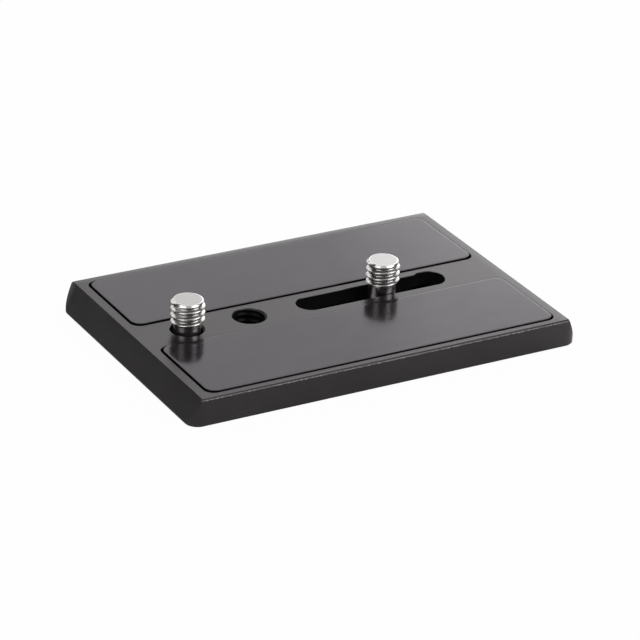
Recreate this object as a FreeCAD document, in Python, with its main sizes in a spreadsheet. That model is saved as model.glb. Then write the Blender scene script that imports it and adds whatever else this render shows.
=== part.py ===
"""Quick release plate for a tripod head, with two captive camera screws and two grip pads.

Frame: millimetres, +Z up, +X along the row of screws, +Y towards the rear pad.
The origin is the centre of the plate's footprint, on the surface that it stands on.
"""
import FreeCAD, Part
import math
import os

import Sketcher

Vector = FreeCAD.Vector

# Driving dimensions: alias, value in millimetres, what it is
DIMENSIONS = [
    ("top_length", 75.6, "plate: length of the top face"),
    ("end_flare", 2.24, "plate: how far each end slopes out from the top face to the base"),
    ("plate_width", 52.2, "plate: width between the upright long sides"),
    ("plate_thickness", 5.4, "plate: height of the metal top face"),
    ("base_land", 0.45, "plate: upright step below each sloping end"),
    ("corner_radius", 2.5, "plate: upright rounding of the four corners"),
    ("rim_chamfer", 0.36, "plate: chamfer along the two long top edges"),
    ("base_break", 0.2, "plate: edge break round the base"),
    ("border_end", 1.7, "recess: metal border at both ends"),
    ("border_front", 1.35, "recess: metal border along the front"),
    ("border_rear", 1.8, "recess: metal border along the rear"),
    ("strip_width", 8.87, "recess: metal strip between the two recesses"),
    ("strip_shift", -0.565, "recess: middle of the strip, from the plate's middle"),
    ("recess_depth", 0.8, "recess: depth below the top face"),
    ("recess_radius", 2.0, "recess: rounding of its corners"),
    ("pad_gap", 0.3, "pad: gap to the wall of its recess"),
    ("pad_raise", 0.19, "pad: height above the metal top face"),
    ("pad_edge", 0.08, "pad: rounding of its upper edge"),
    ("screw_line", -0.5, "holes: the line of holes, from the plate's middle"),
    ("fixed_hole_inset", 10.14, "holes: the turning screw's hole, from the left end of the top face"),
    ("hole_pitch", 12.7, "holes: from the turning screw to the empty hole, and on to the slot"),
    ("slot_end_inset", 14.47, "slot: centre of the threaded hole that it ends in, from the right end"),
    ("keyhole_shift", 0.26, "slot: that threaded hole's centre, rearward of the line of holes"),
    ("keyhole_diameter", 5.96, "slot: diameter of that threaded hole"),
    ("mouth_break", 0.1, "holes: edge break at the top face"),
    ("thread_diameter", 6.35, "screw: outer diameter of the quarter inch thread"),
    ("thread_length", 4.65, "screw: length of the threaded end"),
    ("tip_chamfer", 0.52, "screw: chamfer at the tip"),
    ("runout_chamfer", 0.55, "screw: chamfer where the thread starts above the neck"),
    ("neck_diameter", 5.1, "screw: smooth neck below the thread"),
    ("neck_clearance", 0.13, "slot: clearance on each side of the neck"),
    ("screw_rise", 5.97, "screw: height of the tip above the metal top face"),
    ("head_diameter", 12.0, "screw: diameter of its head"),
    ("head_thickness", 2.2, "screw: thickness of its head"),
    ("head_chamfer", 0.35, "screw: chamfer of the head's lower rim"),
    ("head_fillet", 0.3, "screw: rounding where the neck meets the head"),
    ("head_lift", 0.05, "screw: gap between a hanging head and the surface below"),
    ("coin_slot_width", 1.6, "screw: width of the coin slot in the head"),
    ("coin_slot_depth", 1.1, "screw: depth of the coin slot in the head"),
    ("pocket_depth", 2.6, "head pocket: depth from the underside"),
    ("pocket_clearance", 0.3, "head pocket: clearance round a head"),
    ("slot_screw_setback", 10.38, "screw: where the sliding screw stands, from the slot's threaded hole"),
]

# Distance by which a cutting outline passes the metal that it removes
CUT_MARGIN = 1.0


def make_sheet(doc):
    """Spreadsheet of the driving dimensions, one named cell to a row."""
    sheet = doc.addObject("Spreadsheet::Sheet", "Sizes")
    for row, (alias, value, meaning) in enumerate(DIMENSIONS, start=1):
        sheet.set(f"A{row}", meaning)
        sheet.set(f"B{row}", str(value))
        sheet.setAlias(f"B{row}", alias)
    doc.recompute()
    return sheet


def size(expression):
    """The expression with every driving dimension read from the sheet."""
    for alias, _, _ in sorted(DIMENSIONS, key=lambda entry: -len(entry[0])):
        expression = expression.replace(f"<{alias}>", f"Sizes.{alias}")
    return expression


def value_of(doc, expression):
    """The number, in millimetres, that an expression gives now."""
    result = doc.Sizes.evalExpression(size(expression).replace("Sizes.", ""))
    return float(getattr(result, "Value", result))


def add_body(doc, label):
    """Empty body with its name in the model."""
    body = doc.addObject("PartDesign::Body", label)
    body.Label = label
    return body


def add_sketch(body, name, role, offset="0"):
    """Sketch on one of the body's own origin planes, moved along that plane's normal."""
    plane = next(item for item in body.Origin.OriginFeatures if item.Role == role)
    sketch = body.newObject("Sketcher::SketchObject", name)
    sketch.AttachmentSupport = [(plane, "")]
    sketch.MapMode = "FlatFace"
    sketch.setExpression("AttachmentOffset.Base.z", size(offset))
    return sketch


def bind(sketch, constraint, name, expression):
    """Add a dimension to the sketch and tie it to the sheet."""
    index = sketch.addConstraint(constraint)
    sketch.renameConstraint(index, name)
    sketch.setExpression(f"Constraints.{name}", size(expression))


def pin_point(sketch, geometry, point, name, across, along):
    """Fix one point of the sketch at (across, along) from the sketch's origin."""
    doc = sketch.Document
    for axis, kind, expression in ((-2, "DistanceX", across), (-1, "DistanceY", along)):
        if expression == "0":
            sketch.addConstraint(Sketcher.Constraint("PointOnObject", geometry, point, axis))
            continue
        start = value_of(doc, expression)
        constraint = Sketcher.Constraint(kind, -1, 1, geometry, point, start)
        bind(sketch, constraint, f"{name}_{kind[-1].lower()}", expression)


def draw_polygon(sketch, corners):
    """Closed outline through named corners, each given by two expressions."""
    doc = sketch.Document
    names = list(corners)
    places = [Vector(*(value_of(doc, part) for part in corners[name]), 0) for name in names]
    lines = []
    for index, place in enumerate(places):
        following = places[(index + 1) % len(places)]
        lines.append(sketch.addGeometry(Part.LineSegment(place, following)))
    for index, line in enumerate(lines):
        following = lines[(index + 1) % len(lines)]
        sketch.addConstraint(Sketcher.Constraint("Coincident", line, 2, following, 1))
    for line, name in zip(lines, names):
        pin_point(sketch, line, 1, name, *corners[name])


def draw_circle(sketch, name, across, along, radius):
    """Circle with its centre and radius tied to the sheet."""
    doc = sketch.Document
    centre = Vector(value_of(doc, across), value_of(doc, along), 0)
    circle = sketch.addGeometry(Part.Circle(centre, Vector(0, 0, 1), value_of(doc, radius)))
    pin_point(sketch, circle, 3, name, across, along)
    bind(sketch, Sketcher.Constraint("Radius", circle, value_of(doc, radius)), f"{name}_radius", radius)


def draw_stadium(sketch, start, end, along, radius):
    """Outline of a round-ended slot that runs across the sketch from start to end."""
    doc = sketch.Document
    first, last = value_of(doc, start), value_of(doc, end)
    height, reach = value_of(doc, along), value_of(doc, radius)
    quarter = math.pi / 2
    up = Vector(0, 0, 1)
    near = sketch.addGeometry(
        Part.ArcOfCircle(Part.Circle(Vector(first, height, 0), up, reach), quarter, 3 * quarter))
    lower = sketch.addGeometry(
        Part.LineSegment(Vector(first, height - reach, 0), Vector(last, height - reach, 0)))
    far = sketch.addGeometry(
        Part.ArcOfCircle(Part.Circle(Vector(last, height, 0), up, reach), -quarter, quarter))
    upper = sketch.addGeometry(
        Part.LineSegment(Vector(last, height + reach, 0), Vector(first, height + reach, 0)))
    outline = [near, lower, far, upper]
    for piece, following in zip(outline, outline[1:] + outline[:1]):
        sketch.addConstraint(Sketcher.Constraint("Tangent", piece, 2, following, 1))
    bind(sketch, Sketcher.Constraint("Radius", near, reach), "end_radius", radius)
    pin_point(sketch, near, 3, "start", start, along)
    bind(sketch, Sketcher.Constraint("DistanceX", -1, 1, far, 3, last), "end_x", end)


def add_feature(body, kind, name, sketch, **settings):
    """Sketch-based feature; a setting given as text is an expression."""
    feature = body.newObject(f"PartDesign::{kind}", name)
    feature.Profile = sketch
    for setting, value in settings.items():
        if isinstance(value, str) and value.startswith("="):
            feature.setExpression(setting, size(value[1:]))
        else:
            setattr(feature, setting, value)
    sketch.Visibility = False
    body.Document.recompute()
    return feature


def add_dressing(body, kind, name, setting, amount, wanted):
    """Fillet or chamfer on the edges of the body's tip that the test accepts."""
    base = body.Tip
    edges = [f"Edge{index}" for index, edge in enumerate(base.Shape.Edges, start=1) if wanted(edge)]
    feature = body.newObject(f"PartDesign::{kind}", name)
    feature.Base = (base, edges)
    feature.setExpression(setting, size(amount))
    base.Visibility = False
    body.Document.recompute()
    return feature


def mirror_across(body, name, feature, role):
    """Copy of a feature on the other side of one of the body's origin planes."""
    plane = next(item for item in body.Origin.OriginFeatures if item.Role == role)
    mirrored = body.newObject("PartDesign::Mirrored", name)
    mirrored.Originals = [feature]
    mirrored.MirrorPlane = (plane, [""])
    body.Tip = mirrored
    body.Document.recompute()
    return mirrored


def lies_in_plane(edge, axis, level, tolerance=1e-4):
    """True where the whole edge lies at this level along x, y or z."""
    box = edge.BoundBox
    low, high = getattr(box, f"{axis.upper()}Min"), getattr(box, f"{axis.upper()}Max")
    return abs(low - level) < tolerance and abs(high - level) < tolerance


BASE_LENGTH = "(<top_length> + 2 * <end_flare>)"
HEAD_POCKET_RADIUS = "(<head_diameter> / 2 + <pocket_clearance>)"
SLOT_RADIUS = "(<neck_diameter> / 2 + <neck_clearance>)"
REAR_RECESS = ("<strip_shift> + <strip_width> / 2", "<plate_width> / 2 - <border_rear>")
FRONT_RECESS = ("-(<plate_width> / 2 - <border_front>)", "<strip_shift> - <strip_width> / 2")
FIXED_HOLE_X = "(<fixed_hole_inset> - <top_length> / 2)"
SPARE_HOLE_X = f"({FIXED_HOLE_X} + <hole_pitch>)"
SLOT_START = f"({SPARE_HOLE_X} + <hole_pitch>)"
SLOT_END = "(<top_length> / 2 - <slot_end_inset>)"
SLOT_SCREW_X = f"({SLOT_END} - <slot_screw_setback>)"


def draw_recess(sketch, span, inset="0"):
    """Rectangle over one recess, drawn in by an inset on all four sides."""
    half = f"(<top_length> / 2 - <border_end> - {inset})"
    near, far = f"({span[0]} + {inset})", f"({span[1]} - {inset})"
    draw_polygon(sketch, {
        "near_left": (f"-{half}", near),
        "near_right": (half, near),
        "far_right": (half, far),
        "far_left": (f"-{half}", far),
    })


def make_plate(doc):
    """Metal plate: sloping ends, two pad recesses, threaded holes, keyhole slot, head pocket."""
    body = add_body(doc, "plate_body")
    outline = add_sketch(body, "plate_outline", "XY_Plane")
    half_length, half_width = f"({BASE_LENGTH} / 2)", "(<plate_width> / 2)"
    draw_polygon(outline, {
        "front_left": (f"-{half_length}", f"-{half_width}"),
        "front_right": (half_length, f"-{half_width}"),
        "rear_right": (half_length, half_width),
        "rear_left": (f"-{half_length}", half_width),
    })
    add_feature(body, "Pad", "plate_blank", outline, Length="=<plate_thickness>")
    top = value_of(doc, "<plate_thickness>")
    half_y = value_of(doc, half_width)
    add_dressing(body, "Fillet", "plate_corners", "Radius", "<corner_radius>",
                 lambda edge: edge.BoundBox.ZLength > top / 2)

    slope = add_sketch(body, "end_slope_outline", "XZ_Plane")
    rise = f"(<end_flare> * {CUT_MARGIN} / (<plate_thickness> - <base_land>))"
    draw_polygon(slope, {
        "foot": (half_length, "<base_land>"),
        "foot_outside": (f"{half_length} + {CUT_MARGIN}", "<base_land>"),
        "crest_outside": (f"{half_length} + {CUT_MARGIN}", f"<plate_thickness> + {CUT_MARGIN}"),
        "crest": (f"<top_length> / 2 - {rise}", f"<plate_thickness> + {CUT_MARGIN}"),
    })
    end_slope = add_feature(body, "Pocket", "end_slope", slope, Type="ThroughAll", Midplane=True)
    mirror_across(body, "end_slopes", end_slope, "YZ_Plane")

    add_dressing(body, "Chamfer", "long_rims", "Size", "<rim_chamfer>",
                 lambda edge: lies_in_plane(edge, "z", top) and abs(abs(edge.BoundBox.YMin) - half_y) < 0.01
                 and edge.Length > top)
    add_dressing(body, "Chamfer", "base_rim", "Size", "<base_break>",
                 lambda edge: lies_in_plane(edge, "z", 0.0))

    for name, span in (("rear", REAR_RECESS), ("front", FRONT_RECESS)):
        recess = add_sketch(body, f"{name}_recess_outline", "XY_Plane", "<plate_thickness>")
        draw_recess(recess, span)
        add_feature(body, "Pocket", f"{name}_recess", recess, Length="=<recess_depth>")
    floor = top - value_of(doc, "<recess_depth>")
    add_dressing(body, "Fillet", "recess_corners", "Radius", "<recess_radius>",
                 lambda edge: abs(edge.BoundBox.ZMin - floor) < 1e-4 and edge.BoundBox.ZLength > 1e-3)

    pocket = add_sketch(body, "head_pocket_outline", "XY_Plane")
    draw_stadium(pocket, FIXED_HOLE_X, SLOT_END, "<screw_line>", HEAD_POCKET_RADIUS)
    add_feature(body, "Pocket", "head_pocket", pocket, Length="=<pocket_depth>", Reversed=True)

    slot = add_sketch(body, "slot_outline", "XY_Plane", "<plate_thickness>")
    draw_stadium(slot, SLOT_START, SLOT_END, "<screw_line>", SLOT_RADIUS)
    add_feature(body, "Pocket", "slot", slot, Type="ThroughAll")

    holes = add_sketch(body, "threaded_hole_outlines", "XY_Plane", "<plate_thickness>")
    draw_circle(holes, "fixed", FIXED_HOLE_X, "<screw_line>", "<thread_diameter> / 2")
    draw_circle(holes, "spare", SPARE_HOLE_X, "<screw_line>", "<thread_diameter> / 2")
    draw_circle(holes, "keyhole", SLOT_END, "<screw_line> + <keyhole_shift>", "<keyhole_diameter> / 2")
    add_feature(body, "Pocket", "threaded_holes", holes, Type="ThroughAll")

    strip_edge = value_of(doc, "<strip_width> / 2 - abs(<strip_shift>)")
    add_dressing(body, "Chamfer", "hole_mouths", "Size", "<mouth_break>",
                 lambda edge: lies_in_plane(edge, "z", top) and edge.BoundBox.YMin > -strip_edge
                 and edge.BoundBox.YMax < strip_edge)
    return body


def make_grip_pad(doc, label, span):
    """Rubber pad that lies in one recess and stands a little proud of the metal."""
    body = add_body(doc, label)
    outline = add_sketch(body, f"{label}_outline", "XY_Plane", "<plate_thickness> - <recess_depth>")
    draw_recess(outline, span, "<pad_gap>")
    add_feature(body, "Pad", f"{label}_sheet", outline, Length="=<recess_depth> + <pad_raise>")
    thickness = value_of(doc, "<recess_depth> + <pad_raise>")
    top = value_of(doc, "<plate_thickness> + <pad_raise>")
    add_dressing(body, "Fillet", f"{label}_corners", "Radius", "<recess_radius> - <pad_gap>",
                 lambda edge: edge.BoundBox.ZLength > thickness / 2)
    add_dressing(body, "Fillet", f"{label}_edge", "Radius", "<pad_edge>",
                 lambda edge: lies_in_plane(edge, "z", top))
    return body


def make_screw(doc, label, place):
    """Turned camera screw: threaded end, smooth neck, flat head with a coin slot."""
    body = add_body(doc, label)
    tip = "(<plate_thickness> + <screw_rise> - <head_lift>)"
    thread_start = f"({tip} - <thread_length>)"
    thread, neck, head = "(<thread_diameter> / 2)", "(<neck_diameter> / 2)", "(<head_diameter> / 2)"
    profile = add_sketch(body, f"{label}_profile", "XZ_Plane")
    draw_polygon(profile, {
        "foot_centre": ("0", "0"),
        "foot_rim": (f"{head} - <head_chamfer>", "0"),
        "head_side": (head, "<head_chamfer>"),
        "head_rim": (head, "<head_thickness>"),
        "head_root": (neck, "<head_thickness>"),
        "neck_top": (neck, thread_start),
        "thread_root": (f"{thread} - <runout_chamfer>", thread_start),
        "thread_foot": (thread, f"{thread_start} + <runout_chamfer>"),
        "thread_crest": (thread, f"{tip} - <tip_chamfer>"),
        "tip_rim": (f"{thread} - <tip_chamfer>", tip),
        "tip_centre": ("0", tip),
    })
    add_feature(body, "Revolution", f"{label}_turning", profile,
                ReferenceAxis=(profile, ["V_Axis"]), Angle=360.0)
    head_top = value_of(doc, "<head_thickness>")
    head_size = value_of(doc, "<head_diameter>")
    add_dressing(body, "Fillet", f"{label}_root", "Radius", "<head_fillet>",
                 lambda edge: lies_in_plane(edge, "z", head_top) and edge.BoundBox.XLength < head_size / 2)

    coin_slot = add_sketch(body, f"{label}_coin_slot_outline", "XY_Plane")
    draw_coin_slot(coin_slot)
    add_feature(body, "Pocket", f"{label}_coin_slot", coin_slot, Length="=<coin_slot_depth>", Reversed=True)
    for axis, expression in zip("xyz", (place, "<screw_line>", "<head_lift>")):
        body.setExpression(f"Placement.Base.{axis}", size(expression))
    doc.recompute()
    return body


def draw_coin_slot(sketch):
    """Strip right across the head, a little longer than the head is wide."""
    half, reach = "(<coin_slot_width> / 2)", f"(<head_diameter> / 2 + {CUT_MARGIN})"
    draw_polygon(sketch, {
        "near_left": (f"-{half}", f"-{reach}"),
        "near_right": (half, f"-{reach}"),
        "far_right": (half, reach),
        "far_left": (f"-{half}", reach),
    })


def check_and_export(doc, bodies):
    """Stop on any failed object or bad solid, then write one file for each node."""
    doc.recompute()
    for item in doc.Objects:
        if "Invalid" in item.State or "Error" in item.State:
            raise RuntimeError(f"{item.Name} did not recompute: {item.State}")
    for body in bodies:
        shape = body.Shape
        if shape.isNull() or not shape.isValid() or len(shape.Solids) != 1:
            raise RuntimeError(f"{body.Label} is not one valid solid")
    os.makedirs("parts", exist_ok=True)
    for body in bodies:
        body.Shape.exportStep(f"parts/{body.Label}.step")
        box = body.Shape.BoundBox
        print(f"{body.Label}: {body.Shape.Volume:.1f} mm3, "
              f"x {box.XMin:.2f} to {box.XMax:.2f}, y {box.YMin:.2f} to {box.YMax:.2f}, "
              f"z {box.ZMin:.2f} to {box.ZMax:.2f}")


doc = FreeCAD.newDocument("quick_release_plate")
make_sheet(doc)
bodies = [
    make_plate(doc),
    make_grip_pad(doc, "rear_pad", REAR_RECESS),
    make_grip_pad(doc, "front_pad", FRONT_RECESS),
    make_screw(doc, "fixed_screw", FIXED_HOLE_X),
    make_screw(doc, "slot_screw", SLOT_SCREW_X),
]
check_and_export(doc, bodies)
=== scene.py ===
"""Looks of the quick release plate: anodised metal, rubber pads, threaded screws, studio."""

import math

import bmesh
import bpy
from mathutils import Matrix, Vector

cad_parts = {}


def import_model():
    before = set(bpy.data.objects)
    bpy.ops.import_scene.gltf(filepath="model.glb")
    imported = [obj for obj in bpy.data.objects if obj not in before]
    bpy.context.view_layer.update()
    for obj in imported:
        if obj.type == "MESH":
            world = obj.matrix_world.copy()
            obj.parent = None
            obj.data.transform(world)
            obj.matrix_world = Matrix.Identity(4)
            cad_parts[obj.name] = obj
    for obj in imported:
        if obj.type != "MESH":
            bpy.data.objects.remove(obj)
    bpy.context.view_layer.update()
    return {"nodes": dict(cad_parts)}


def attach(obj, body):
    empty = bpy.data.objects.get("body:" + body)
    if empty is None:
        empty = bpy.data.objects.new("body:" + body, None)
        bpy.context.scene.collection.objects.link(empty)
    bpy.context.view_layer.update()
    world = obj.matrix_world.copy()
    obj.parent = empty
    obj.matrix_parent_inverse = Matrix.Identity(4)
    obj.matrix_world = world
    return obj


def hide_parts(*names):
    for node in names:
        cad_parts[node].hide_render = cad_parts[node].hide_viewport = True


MM = 0.001

# Plate, millimetres
TOP_FACE = 5.4
HALF_WIDTH = 26.1
HALF_TOP_LENGTH = 37.8
RIM_CHAMFER = 0.36
EDGE_BAND = 2.0
EDGE_SHADING = 0.14
WEB_UNDERSIDE = 2.6
SCREW_LINE = -0.5
SPARE_HOLE_X = -14.96
FIXED_HOLE_X = -27.66
SLOT_SCREW_X = 12.95
RECESS_FLOOR = 4.6

# Colours: each dye's two shades, bare metal on the worn rims, and the painted shade in holes and gaps, on
# the pads' sides and on the top chamfer
METAL_DYE = ((0.0085, 0.0076, 0.0080, 1.0), (0.0180, 0.0162, 0.0168, 1.0))
BARE_METAL = (0.62, 0.61, 0.60, 1.0)
METAL_IN_SHADE = (0.006, 0.0056, 0.0058, 1.0)
RUBBER_DYE = ((0.0092, 0.0082, 0.0094, 1.0), (0.0174, 0.0157, 0.0177, 1.0))
RUBBER_IN_SHADE = (0.004, 0.0038, 0.0039, 1.0)
# Steel in two tones, with painted shade for the screws' end faces and a painted highlight for their rims
STEEL = ((0.66, 0.637, 0.632, 1.0), (0.57, 0.550, 0.545, 1.0))
STEEL_END_FACE_PAINTED_SHADE = (0.435, 0.422, 0.418, 1.0)
STEEL_RIM_PAINTED_HIGHLIGHT = (0.83, 0.81, 0.81, 1.0)
# Tapped thread: black dye with painted shade in two tones, and a paler mouth
TAPPED_DYE_AND_SHADE = ((0.004, 0.004, 0.0042, 1.0), (0.008, 0.0078, 0.008, 1.0))
TAPPED_MOUTH = (0.045, 0.043, 0.043, 1.0)
WHITE = (1.0, 1.0, 1.0, 1.0)

# Quarter inch camera thread, twenty to the inch
CREST_RADIUS = 3.175
ROOT_RADIUS = 2.55
PITCH = 1.27
THREAD_TURN = 0.404
ROOT_END = 0.3
CREST_START = 0.87
THREAD_ROUNDING = 0.42
NECK_RADIUS = 2.55
THREAD_FOOT = 6.65
FOOT_SLOPE = 0.95
SCREW_TIP = 11.37
TIP_CHAMFER = 0.45
TIP_RIM = 0.08
RIM_SLOPE = 4.0
END_RADIUS = CREST_RADIUS - TIP_CHAMFER - TIP_RIM
NECK_CUT = 3.6
SCREW_ROWS = 360

# Thread in the holes: a thin sleeve in the plate whose crests stand out of the wall
SLEEVE_RADIUS = CREST_RADIUS + 0.01
SLEEVE_BACK = 0.04
SLEEVE_TOP = TOP_FACE - 0.08
SLEEVE_FADE = 0.25
HOLE_CREST_RADIUS = 2.88
HOLE_ROWS = 80

# Meshes: columns round each thread, welding distance in metres, angle of a sharp edge in degrees
COLUMNS = 96
WELD_DISTANCE = 1e-7
SHARP_ON_SCREW = 32
SHARP_ELSEWHERE = 40
PAD_CORNER_STEPS = 8
PAD_EDGE_STEPS = 6

# Rubber pads
PAD_TOP = 5.59
PAD_HALF_LENGTH = 35.76
PAD_CORNER = 1.95
PAD_SHIFT = 0.07
PAD_EDGE = 0.08
PAD_SPANS = {"rear_pad": (4.33, 23.96), "front_pad": (-24.41, -5.34)}

# Camera: where it stands, what it looks at, its roll and its lens, for a 640 x 640 picture
CAMERA_PLACE = (-278.56, -471.91, 270.25)
CAMERA_AIM = (-4.02, -7.24, 5.4)
CAMERA_ROLL = 2.74
LENS = 186.23

# Lamps: name, bearing from +X and height angle in degrees, distance, width, height, brightness
LAMPS = [
    ("back_right", 42, 28, 0.9, 0.85, 0.6, 1.26),
    ("back_far_right", 34, 28, 0.7, 0.5, 0.5, 0.32),
    ("back_low", 43, 15.5, 0.9, 0.46, 0.3, 0.8),
    ("back_horizon", 68, 9, 0.9, 0.8, 0.2, 1.3),
    ("back_left", 100, 33, 0.9, 0.5, 0.5, 1.25),
    ("right_soft", -51, 41, 0.9, 0.55, 0.7, 3.5),
    ("left_soft", -165, 41, 0.9, 0.55, 0.7, 2.2),
    ("overhead", -120, 84, 0.9, 0.8, 0.8, 0.65),
]

# Glow of the surround and of the floor: to the camera, and the floor's painted glow in reflections,
# stronger in those to the right
SURROUND = 0.02
FLOOR_WHITE = 0.97
FLOOR_GLOW = 0.05
RIGHT_GLOW = 0.85
FLOOR_LEVEL = -0.02


class Value:
    """An output socket; arithmetic on it adds Math nodes to its tree."""

    def __init__(self, tree, socket):
        self.tree = tree
        self.socket = socket

    def math(self, operation, *others):
        return self.tree.add("ShaderNodeMath", {"operation": operation}, dict(enumerate((self, *others))))

    def __add__(self, other):
        return self.math("ADD", other)

    def __sub__(self, other):
        return self.math("SUBTRACT", other)

    def __mul__(self, other):
        return self.math("MULTIPLY", other)

    def __truediv__(self, other):
        return self.math("DIVIDE", other)

    def __rsub__(self, other):
        return self.tree.add("ShaderNodeMath", {"operation": "SUBTRACT"}, {0: other, 1: self})

    def __rtruediv__(self, other):
        return self.tree.add("ShaderNodeMath", {"operation": "DIVIDE"}, {0: other, 1: self})

    __radd__ = __add__
    __rmul__ = __mul__

    def least(self, other):
        return self.math("MINIMUM", other)

    def most(self, other):
        return self.math("MAXIMUM", other)

    def clamped(self):
        return self.least(1.0).most(0.0)

    def step(self, low, high):
        """0 below low, 1 above high, straight between them."""
        return ((self - low) / (high - low)).clamped()


class Tree:
    """A shader or geometry node tree that is written as expressions."""

    def __init__(self, nodes_of):
        self.nodes = nodes_of.nodes
        self.links = nodes_of.links

    def put(self, kind, settings=None, inputs=None):
        """A node with its settings, then the values or links of its sockets."""
        node = self.nodes.new(kind)
        for name, setting in (settings or {}).items():
            setattr(node, name, setting)
        for name, given in (inputs or {}).items():
            if isinstance(given, Value):
                self.links.new(given.socket, node.inputs[name])
            else:
                node.inputs[name].default_value = given
        return node

    def add(self, kind, settings=None, inputs=None, output=0):
        """The same, as a Value of one of its outputs."""
        return Value(self, self.put(kind, settings, inputs).outputs[output])

    def blend_colour(self, factor, first, second):
        return self.add("ShaderNodeMix", {"data_type": "RGBA"}, {0: factor, 6: first, 7: second}, 2)


class Finish(Tree):
    """Material with a Principled shader whose position comes from Object coordinates."""

    def __init__(self, name, **sockets):
        self.material = bpy.data.materials.new(name)
        self.material.use_nodes = True
        super().__init__(self.material.node_tree)
        self.shader = self.nodes["Principled BSDF"]
        for socket, given in sockets.items():
            self.shader.inputs[socket.replace("_", " ")].default_value = given
        self.place = self.add("ShaderNodeTexCoord", output="Object")

    def feed(self, socket, value):
        self.links.new(value.socket, self.shader.inputs[socket])

    def darken(self, share, colour):
        """Mix in a dull shader without shine, where light hardly reaches."""
        dull = self.put("ShaderNodeBsdfPrincipled", None, {
            "Base Color": colour, "Roughness": 0.6, "Specular IOR Level": 0.05})
        surface = self.add("ShaderNodeMixShader", None, {
            0: share, 1: Value(self, self.shader.outputs[0]), 2: Value(self, dull.outputs[0])})
        self.links.new(surface.socket, self.nodes["Material Output"].inputs["Surface"])

    def axes(self):
        """The three coordinates of a point, in metres."""
        split = self.put("ShaderNodeSeparateXYZ", None, {0: self.place})
        return [Value(self, output) for output in split.outputs]

    def noise(self, per_mm, detail=2.0, roughness=0.5, stretch=None):
        """Noise from 0 to 1 with a number of features per millimetre."""
        place = self.place
        if stretch:
            place = self.add("ShaderNodeMapping", None, {"Vector": place, "Scale": stretch})
        return self.add("ShaderNodeTexNoise", None, {
            "Vector": place, "Scale": per_mm / MM, "Detail": detail, "Roughness": roughness})

    def bump(self, height, depth_mm):
        """Relief of that depth, in millimetres, on the surface."""
        self.feed("Normal", self.add("ShaderNodeBump", None, {
            "Height": height, "Distance": depth_mm * MM, "Strength": 1.0}))


def anodised_metal():
    """Black anodised aluminium: satin, finely grained, rubbed to bare metal along the long rims."""
    finish = Finish("anodised_metal", Specular_IOR_Level=0.5, Specular_Tint=(1.0, 0.915, 0.935, 1.0))
    lengthwise, across, up = finish.axes()
    grain = finish.noise(6.0, 3.0, 0.6)
    cloud = finish.noise(0.09, 3.0, 0.55)
    flecks = finish.noise(2.2, 3.0, 0.65, (1.0, 2.2, 2.2))

    from_side = (HALF_WIDTH * MM - across.math("ABSOLUTE")) / MM
    from_top = (TOP_FACE * MM - up) / MM
    lower_line = 1.0 - (from_top - RIM_CHAMFER).math("ABSOLUTE").step(0.03, 0.12)
    upper_line = 1.0 - (from_side - RIM_CHAMFER).math("ABSOLUTE").step(0.03, 0.10)
    on_rim = from_side.step(0.62, 0.42) * from_top.step(0.56, 0.44)
    worn = on_rim * (lower_line * 0.4 + 0.03 - upper_line * 0.5).clamped() * flecks.step(0.44, 0.7)

    from_end = HALF_TOP_LENGTH - lengthwise.math("ABSOLUTE") / MM
    below_face = from_top.step(0.12, 0.2) * from_top.step(TOP_FACE - 0.05, TOP_FACE - 0.15)
    inside = below_face * from_side.step(0.8, 1.0) * from_end.step(0.8, 1.2)

    dye = finish.blend_colour(cloud.step(0.3, 0.7), *METAL_DYE)
    finish.feed("Base Color", finish.blend_colour(worn, dye, BARE_METAL))
    finish.feed("Metallic", worn * 0.9)
    finish.feed("Roughness", 0.20 + grain * 0.06 + cloud * 0.04 + worn * 0.1)
    # Painted shade: a dull dark shader in the holes, slots and recesses below the top face, and on the
    # top chamfer outside the worn spots
    chamfer_shade_share = from_top.step(0.26, 0.18) * from_side.step(0.34, 0.26)
    finish.darken(inside.most(chamfer_shade_share * (1.0 - worn) * 0.75), METAL_IN_SHADE)
    to_back = (across / MM).step(HALF_WIDTH - EDGE_BAND, HALF_WIDTH)
    to_right = (lengthwise / MM).step(HALF_TOP_LENGTH - EDGE_BAND, HALF_TOP_LENGTH)
    finish.bump(grain * 0.002 - (to_back * to_back + to_right * to_right * 0.35) * EDGE_SHADING, 1.0)
    return finish.material


def grip_rubber():
    """Smooth black rubber with a slight sheen, faintly smudged, with painted shade on its upright sides.
    """
    finish = Finish("grip_rubber", Specular_IOR_Level=0.5, Specular_Tint=(0.98, 0.89, 0.997, 1.0))
    height = finish.axes()[2]
    mottle = finish.noise(0.08, 3.0, 0.6)
    smear = finish.noise(0.3, 3.0, 0.55, (0.5, 1.6, 1.0))
    smudge = (mottle * 0.55 + smear * 0.45).step(0.38, 0.62)
    side = (height / MM).step(PAD_TOP - PAD_EDGE * 0.6, PAD_TOP - PAD_EDGE)
    finish.feed("Base Color", finish.blend_colour(smudge, *RUBBER_DYE))
    finish.feed("Roughness", 0.11 + smudge * 0.05)
    # Painted shade: the upright sides get the dull dark shader
    finish.darken(side, RUBBER_IN_SHADE)
    finish.bump(mottle * 0.6 + smear * 0.15, 0.02)
    return finish.material


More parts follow.
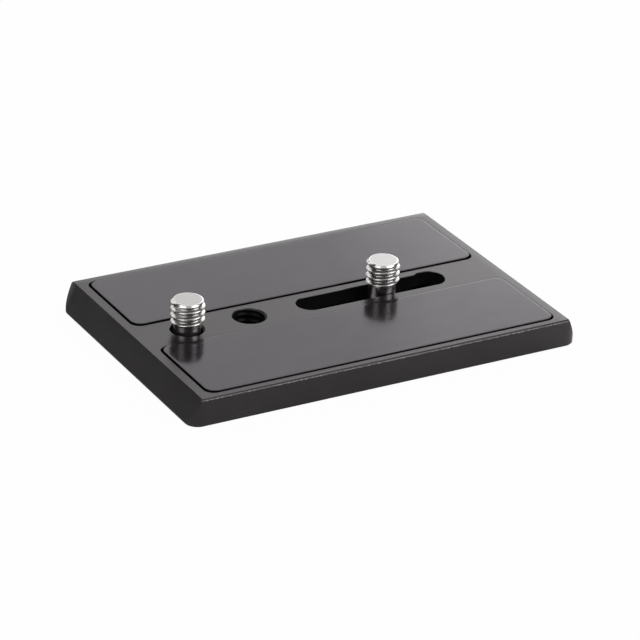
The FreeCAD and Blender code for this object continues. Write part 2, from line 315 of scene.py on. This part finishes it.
def turned_steel():
    """Bright stainless steel: fine turning marks, painted shade on the end face and a painted highlight
    round its rim.
    """
    finish = Finish("turned_steel", Metallic=1.0)
    across, along, up = finish.axes()
    turning = finish.noise(1.2, 3.0, 0.6, (0.15, 0.15, 9.0))
    grime = finish.noise(1.6, 2.0)
    steel = finish.blend_colour(grime.step(0.35, 0.75), *STEEL)
    seen_from_above = finish.add("ShaderNodeCombineXYZ", None, {0: across, 1: along})
    from_axes = [finish.add("ShaderNodeVectorMath", {"operation": "DISTANCE"}, {
        0: seen_from_above, 1: (place * MM, SCREW_LINE * MM, 0.0)}, 1) / MM
        for place in (FIXED_HOLE_X, SLOT_SCREW_X)]
    from_axis = from_axes[0].least(from_axes[1])
    near_tip = (up / MM).step(SCREW_TIP - 0.08, SCREW_TIP - 0.03)
    rim = near_tip * from_axis.step(END_RADIUS - 0.16, END_RADIUS - 0.06)
    # Painted shade on the end face, then a painted highlight round its rim
    steel = finish.blend_colour(near_tip, steel, STEEL_END_FACE_PAINTED_SHADE)
    steel = finish.blend_colour(rim, steel, STEEL_RIM_PAINTED_HIGHLIGHT)
    finish.feed("Base Color", steel)
    finish.feed("Roughness", 0.20 + turning * 0.06 + grime * 0.04 + rim * 0.10)
    finish.bump(turning, 0.0005)
    return finish.material


def tapped_metal():
    """Thread inside the holes: black dye darkened further by painted shade to nearly black, and a little
    paler at the mouth.
    """
    finish = Finish("tapped_metal", Specular_IOR_Level=0.04)
    cut = finish.noise(3.0, 3.0)
    at_mouth = (finish.axes()[2] / MM).step(TOP_FACE - 0.7, TOP_FACE - 0.2)
    shade = finish.blend_colour(cut, *TAPPED_DYE_AND_SHADE)
    finish.feed("Base Color", finish.blend_colour(at_mouth, shade, TAPPED_MOUTH))
    finish.feed("Roughness", 0.20 + cut * 0.12)
    finish.bump(cut, 0.01)
    return finish.material


def geometry_tree(name, sizes, counts):
    """Empty geometry node tree with named inputs, and their Values."""
    group = bpy.data.node_groups.new(name, "GeometryNodeTree")
    for label in sizes:
        group.interface.new_socket(label, in_out="INPUT", socket_type="NodeSocketFloat")
    for label in counts:
        group.interface.new_socket(label, in_out="INPUT", socket_type="NodeSocketInt")
    group.interface.new_socket("Finish", in_out="INPUT", socket_type="NodeSocketMaterial")
    group.interface.new_socket("Geometry", in_out="OUTPUT", socket_type="NodeSocketGeometry")
    tree = Tree(group)
    entry = tree.put("NodeGroupInput")
    values = {socket.name: Value(tree, socket) for socket in entry.outputs if socket.name}
    return group, tree, values


def cylinder_of(tree, rows, columns, radius_at, length, start):
    """Grid wrapped into an upright tube that faces outward; radius_at(height, turn) gives its radius."""
    grid = tree.put("GeometryNodeMeshGrid", None, {
        "Size X": 1.0, "Size Y": 1.0, "Vertices X": rows + 1, "Vertices Y": columns + 1})
    place = tree.put("ShaderNodeSeparateXYZ", None, {0: tree.add("GeometryNodeInputPosition")})
    along, turn = (Value(tree, place.outputs[axis]) + 0.5 for axis in (0, 1))
    height = start + along * length
    radius = radius_at(height, turn)
    angle = turn * math.tau
    wrapped = tree.add("ShaderNodeCombineXYZ", None, {
        0: angle.math("COSINE") * radius, 1: angle.math("SINE") * radius, 2: height})
    moved = tree.add("GeometryNodeSetPosition", None, {
        "Geometry": Value(tree, grid.outputs["Mesh"]), "Position": wrapped})
    return tree.add("GeometryNodeFlipFaces", None, {"Mesh": moved})


def thread_ridge(height, turn, pitch):
    """0 at the root and 1 at the crest of a right-hand thread, with rounded corners."""
    phase = (height / pitch - turn + THREAD_TURN).math("FRACT")
    rise = (1.0 - (phase * 2.0 - 1.0).math("ABSOLUTE") - ROOT_END) / (CREST_START - ROOT_END)
    return rise.math("SMOOTH_MIN", 1.0, THREAD_ROUNDING).math("SMOOTH_MAX", 0.0, THREAD_ROUNDING)


def close_tree(group, tree, parts, material):
    """Join the parts, weld, realise, give the finish and end the tree."""
    join = tree.put("GeometryNodeJoinGeometry")
    for part in parts:
        tree.links.new(part.socket, join.inputs[0])
    welded = tree.add("GeometryNodeMergeByDistance", None, {
        "Geometry": Value(tree, join.outputs[0]), "Distance": WELD_DISTANCE})
    real = tree.add("GeometryNodeRealizeInstances", None, {"Geometry": welded})
    dressed = tree.add("GeometryNodeSetMaterial", None, {"Geometry": real, "Material": material})
    tree.put("NodeGroupOutput", None, {"Geometry": dressed})
    return group


def screw_thread_tree():
    """Threaded end of a screw, with a stretch of its neck below and a chamfered tip."""
    sizes = ["Crest", "Root", "Neck", "Pitch", "Foot", "Tip", "Tip chamfer", "Tip rim", "Neck length"]
    group, tree, size = geometry_tree("screw_thread", sizes, ["Rows", "Columns"])
    start = size["Foot"] - size["Neck length"]
    length = size["Tip"] - start
    tip_radius = size["Crest"] - size["Tip chamfer"]
    rim_radius = tip_radius - size["Tip rim"]

    def radius_at(height, turn):
        ridge = thread_ridge(height, turn, size["Pitch"])
        below_tip = (size["Tip"] - height).most(0.0)
        threaded = size["Root"] + ridge * (size["Crest"] - size["Root"])
        threaded = threaded.most(rim_radius - below_tip)
        foot_cone = size["Neck"] + (height - size["Foot"]).most(0.0) * FOOT_SLOPE
        tip_cone = (tip_radius + below_tip).least(rim_radius + below_tip * RIM_SLOPE)
        return threaded.least(foot_cone).least(tip_cone)

    parts = [cylinder_of(tree, size["Rows"], size["Columns"], radius_at, length, start)]
    for radius, height, downward in ((size["Neck"], start, True), (rim_radius, size["Tip"], False)):
        disc = tree.add("GeometryNodeMeshCircle", {"fill_type": "TRIANGLE_FAN"}, {
            "Vertices": size["Columns"], "Radius": radius})
        lift = tree.add("ShaderNodeCombineXYZ", None, {2: height})
        disc = tree.add("GeometryNodeTransform", None, {"Geometry": disc, "Translation": lift})
        if downward:
            disc = tree.add("GeometryNodeFlipFaces", None, {"Mesh": disc})
        parts.append(disc)
    return close_tree(group, tree, parts, size["Finish"])


def hole_thread_tree():
    """Thin sleeve with thread crests that stand inward from a hole's wall and fade at both mouths."""
    sizes = ["Wall", "Back", "Crest", "Pitch", "Low", "High", "Fade"]
    group, tree, size = geometry_tree("hole_thread", sizes, ["Rows", "Columns"])
    length = size["High"] - size["Low"]

    def from_mouths(height):
        return ((height - size["Low"]).least(size["High"] - height) / size["Fade"]).clamped()

    def inner(height, turn):
        ridge = thread_ridge(height, turn, size["Pitch"])
        return size["Wall"] - ridge.least(from_mouths(height)) * (size["Wall"] - size["Crest"])

    def outer(height, turn):
        return size["Wall"] + from_mouths(height) * size["Back"]

    inside = cylinder_of(tree, size["Rows"], size["Columns"], inner, length, size["Low"])
    inside = tree.add("GeometryNodeFlipFaces", None, {"Mesh": inside})
    outside = cylinder_of(tree, size["Rows"], size["Columns"], outer, length, size["Low"])
    return close_tree(group, tree, (inside, outside), size["Finish"])


def grow(name, group, settings, material, place):
    """Plain mesh that a geometry node tree makes, moved to its place."""
    seed = bpy.data.objects.new(f"{name}_seed", bpy.data.meshes.new(f"{name}_seed"))
    bpy.context.collection.objects.link(seed)
    modifier = seed.modifiers.new("tree", "NODES")
    modifier.node_group = group
    for socket in group.interface.items_tree:
        if socket.in_out != "INPUT":
            continue
        modifier[socket.identifier] = material if socket.name == "Finish" else settings[socket.name]
    evaluated = seed.evaluated_get(bpy.context.evaluated_depsgraph_get())
    mesh = bpy.data.meshes.new_from_object(evaluated)
    bpy.data.objects.remove(seed)
    mesh.name = name
    mesh.transform(Matrix.Translation(Vector(place) * MM))
    return mesh


def show(name, mesh, material, body, slot, *nodes):
    """Object for a finished mesh that rides on a body and may stand for CAD nodes."""
    piece = bpy.data.objects.new(name, mesh)
    bpy.context.collection.objects.link(piece)
    if not mesh.materials:
        mesh.materials.append(material)
    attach(piece, body)
    if nodes:
        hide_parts(*nodes)
    return piece


def shade_by_angle(mesh, degrees):
    """Smooth shading, with sharp edges where faces meet at more than the angle."""
    shape = bmesh.new()
    shape.from_mesh(mesh)
    for face in shape.faces:
        face.smooth = True
    limit = math.radians(degrees)
    for edge in shape.edges:
        edge.smooth = len(edge.link_faces) == 2 and edge.calc_face_angle(0.0) < limit
    shape.to_mesh(mesh)
    shape.free()


def head_and_neck(node):
    """Copy of a CAD screw below the cut in its neck, closed again."""
    shape = bmesh.new()
    shape.from_mesh(node.data)
    bmesh.ops.remove_doubles(shape, verts=shape.verts, dist=1e-6)
    bmesh.ops.bisect_plane(
        shape, geom=shape.verts[:] + shape.edges[:] + shape.faces[:], dist=1e-7,
        plane_co=(0, 0, NECK_CUT * MM), plane_no=(0, 0, 1), clear_outer=True)
    bmesh.ops.holes_fill(shape, edges=[edge for edge in shape.edges if edge.is_boundary])
    return shape


def make_screw(node_name, place, tree, steel, nodes):
    """Screw with a real thread: the turned end on the CAD screw's own head."""
    settings = {
        "Crest": CREST_RADIUS * MM, "Root": ROOT_RADIUS * MM, "Neck": NECK_RADIUS * MM,
        "Pitch": PITCH * MM, "Foot": THREAD_FOOT * MM, "Tip": SCREW_TIP * MM,
        "Tip chamfer": TIP_CHAMFER * MM, "Tip rim": TIP_RIM * MM,
        "Neck length": (THREAD_FOOT - NECK_CUT) * MM, "Rows": SCREW_ROWS, "Columns": COLUMNS,
    }
    threaded = grow(f"{node_name}_thread", tree, settings, steel, (place, SCREW_LINE, 0))
    shape = head_and_neck(nodes[node_name])
    shape.from_mesh(threaded)
    mesh = bpy.data.meshes.new(f"{node_name}_turned")
    shape.to_mesh(mesh)
    shape.free()
    mesh.materials.clear()
    shade_by_angle(mesh, SHARP_ON_SCREW)
    for face in mesh.polygons:
        face.use_smooth = face.normal.z < 0.9999
    return show(f"{node_name}_turned", mesh, steel, node_name, "bright_steel", node_name)


def pad_outline(span, inset):
    """Points of a pad's rounded outline, drawn in by an inset."""
    low, high = span[0] + inset, span[1] - inset
    reach, corner = PAD_HALF_LENGTH - inset, PAD_CORNER - inset
    centres = ((reach, high), (-reach, high), (-reach, low), (reach, low))
    points = []
    for quarter, (x, y) in enumerate(centres):
        centre = (x - math.copysign(corner, x), y + (corner if y == low else -corner))
        for step in range(PAD_CORNER_STEPS + 1):
            angle = (quarter + step / PAD_CORNER_STEPS) * math.pi / 2
            x_edge = PAD_SHIFT + centre[0] + corner * math.cos(angle)
            points.append((x_edge, centre[1] + corner * math.sin(angle)))
    return points


def make_pad(node_name, span, rubber):
    """Sheet of rubber with upright sides and a softly rounded upper edge."""
    shape = bmesh.new()
    rows = [(0.0, RECESS_FLOOR)]
    for step in range(PAD_EDGE_STEPS + 1):
        angle = step / PAD_EDGE_STEPS * math.pi / 2
        rows.append((PAD_EDGE * (1 - math.cos(angle)), PAD_TOP - PAD_EDGE * (1 - math.sin(angle))))
    rows.append((PAD_EDGE + 0.5, PAD_TOP))
    rings = [[shape.verts.new((x * MM, y * MM, z * MM)) for x, y in pad_outline(span, inset)]
             for inset, z in rows]
    for lower, upper in zip(rings, rings[1:]):
        for index, corner in enumerate(lower):
            following = (index + 1) % len(lower)
            shape.faces.new((corner, lower[following], upper[following], upper[index]))
    shape.faces.new(rings[-1])
    shape.faces.new(rings[0][::-1])
    mesh = bpy.data.meshes.new(f"{node_name}_rubber")
    shape.to_mesh(mesh)
    shape.free()
    shade_by_angle(mesh, SHARP_ELSEWHERE)
    return show(f"{node_name}_rubber", mesh, rubber, "plate", "grip_rubber", node_name)


def make_camera():
    """Long lens from the front left, a little above, slightly rolled."""
    data = bpy.data.cameras.new("camera")
    data.lens = LENS
    data.sensor_width = 36.0
    data.clip_start, data.clip_end = 0.05, 20.0
    camera = bpy.data.objects.new("camera", data)
    camera.location = Vector(CAMERA_PLACE) * MM
    looking = (Vector(CAMERA_AIM) - Vector(CAMERA_PLACE)).to_track_quat("-Z", "Y")
    roll = Matrix.Rotation(math.radians(CAMERA_ROLL), 3, "Z").to_quaternion()
    camera.rotation_mode = "QUATERNION"
    camera.rotation_quaternion = looking @ roll
    bpy.context.collection.objects.link(camera)
    bpy.context.scene.camera = camera


def soft_lamp(name, bearing, height_angle, away, width, height, brightness):
    """Flat soft light that faces the object, seen from it under two angles, sizes in metres."""
    data = bpy.data.lights.new(name, "AREA")
    data.shape = "RECTANGLE"
    data.size, data.size_y = width, height
    data.energy = brightness * math.pi * width * height
    lamp = bpy.data.objects.new(name, data)
    bearing, height_angle = math.radians(bearing), math.radians(height_angle)
    level = math.cos(height_angle)
    towards = Vector((math.cos(bearing) * level, math.sin(bearing) * level, math.sin(height_angle)))
    lamp.location = towards * away
    lamp.rotation_euler = (-towards).to_track_quat("-Z", "Y").to_euler()
    bpy.context.collection.objects.link(lamp)


def make_floor():
    """Pale floor: white to the camera but for a faint shadow, with a painted glow in reflections that is
    stronger to the right of the plate, plainly lit under the plate.
    """
    mesh = bpy.data.meshes.new("floor")
    shape = bmesh.new()
    bmesh.ops.create_grid(shape, x_segments=1, y_segments=1, size=3.0)
    shape.to_mesh(mesh)
    shape.free()
    floor = bpy.data.objects.new("floor", mesh)
    floor.location.z = FLOOR_LEVEL * MM
    bpy.context.collection.objects.link(floor)
    finish = Finish("pale_floor", Base_Color=(0.80, 0.80, 0.80, 1.0), Roughness=0.7)
    seen = finish.add("ShaderNodeLightPath", output="Is Camera Ray")
    glow = finish.add("ShaderNodeEmission", None, {"Color": WHITE, "Strength": 1.0})
    lit = Value(finish, finish.shader.outputs[0])
    mirrored = finish.add("ShaderNodeLightPath", output="Is Glossy Ray")
    x, y = finish.axes()[:2]
    beneath = (x / MM).math("ABSOLUTE").step(39.0, 38.0) * (y / MM).math("ABSOLUTE").step(25.5, 24.5)
    at_right = (x / MM).step(30.0, 44.0)
    # Painted light: the floor glows in reflections, more so to the right of the plate, and not under it
    share = (seen * FLOOR_WHITE + mirrored * (FLOOR_GLOW + at_right * RIGHT_GLOW)) * (1.0 - beneath)
    surface = finish.add("ShaderNodeMixShader", None, {0: share, 1: lit, 2: glow})
    finish.links.new(surface.socket, finish.nodes["Material Output"].inputs["Surface"])
    mesh.materials.append(finish.material)


def make_world():
    """White surround to the camera, a dim even studio to everything else."""
    world = bpy.data.worlds.new("studio")
    world.use_nodes = True
    bpy.context.scene.world = world
    tree = Tree(world.node_tree)
    seen = tree.add("ShaderNodeLightPath", output="Is Camera Ray")
    strength = SURROUND + seen * (1.0 - SURROUND)
    background = tree.nodes["Background"]
    background.inputs["Color"].default_value = WHITE
    tree.links.new(strength.socket, background.inputs["Strength"])


def main():
    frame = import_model()
    nodes = frame["nodes"]

    metal, rubber, steel, tapped = anodised_metal(), grip_rubber(), turned_steel(), tapped_metal()
    for slot in nodes["plate_body"].material_slots:
        slot.material = metal
    for node_name, span in PAD_SPANS.items():
        make_pad(node_name, span, rubber)
    screw_tree = screw_thread_tree()
    make_screw("fixed_screw", FIXED_HOLE_X, screw_tree, steel, nodes)
    make_screw("slot_screw", SLOT_SCREW_X, screw_tree, steel, nodes)
    hole_tree = hole_thread_tree()
    hole_settings = {
        "Wall": SLEEVE_RADIUS * MM, "Back": SLEEVE_BACK * MM, "Crest": HOLE_CREST_RADIUS * MM,
        "Pitch": PITCH * MM, "Low": WEB_UNDERSIDE * MM, "High": SLEEVE_TOP * MM,
        "Fade": SLEEVE_FADE * MM, "Rows": HOLE_ROWS, "Columns": COLUMNS,
    }
    for name, x in (("fixed_hole_thread", FIXED_HOLE_X), ("spare_hole_thread", SPARE_HOLE_X)):
        mesh = grow(name, hole_tree, hole_settings, tapped, (x, SCREW_LINE, 0))
        shade_by_angle(mesh, SHARP_ELSEWHERE)
        show(name, mesh, tapped, "plate", "anodised_plate")

    make_camera()
    make_floor()
    make_world()
    for lamp in LAMPS:
        soft_lamp(*lamp)
    bpy.context.scene.view_settings.view_transform = "Standard"


main()
